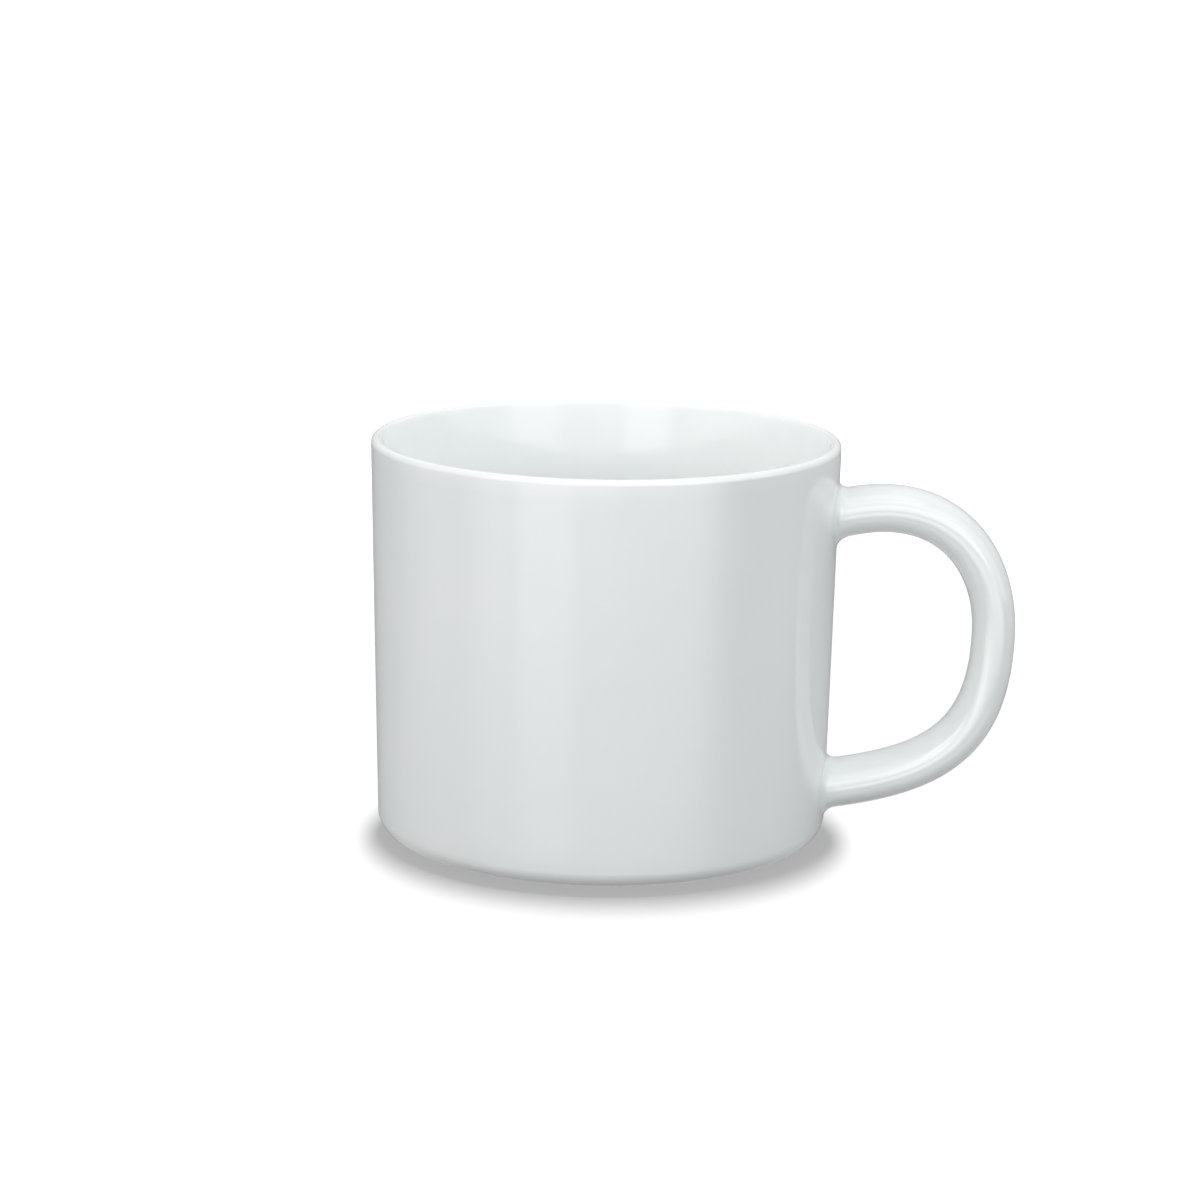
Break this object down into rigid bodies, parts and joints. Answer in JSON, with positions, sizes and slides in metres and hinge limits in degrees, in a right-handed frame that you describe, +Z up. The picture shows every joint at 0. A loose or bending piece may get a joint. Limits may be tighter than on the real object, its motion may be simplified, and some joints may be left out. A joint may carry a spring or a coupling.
{
  "type": "ceramic mug",
  "caption": "Low, nearly straight-sided porcelain mug with a thin rounded lip, an oval-section loop handle luted on with slip, and a recessed foot ring.",
  "frame": {"origin": "centre of the whole mug's footprint box, on the surface that it stands on; the cup's own axis is vertical at x = -0.0162, y = 0", "axes": "+Z up along the cup's axis, +X from the cup towards the handle, +Y across the handle"},
  "size_m": [0.1174, 0.085, 0.0742],
  "materials": {
    "glazed_porcelain": "clear gloss glaze over cool white porcelain, fired and fused; the foot ring's contact face is left bare",
    "glazed_slip": "the same clear gloss glaze, pooled a little thicker over the slip fillets"
  },
  "bodies": {
    "root": {"cup_body": "glazed_porcelain", "handle": "glazed_porcelain", "upper_handle_slip": "glazed_slip", "lower_handle_slip": "glazed_slip"}
  },
  "joints": []
}
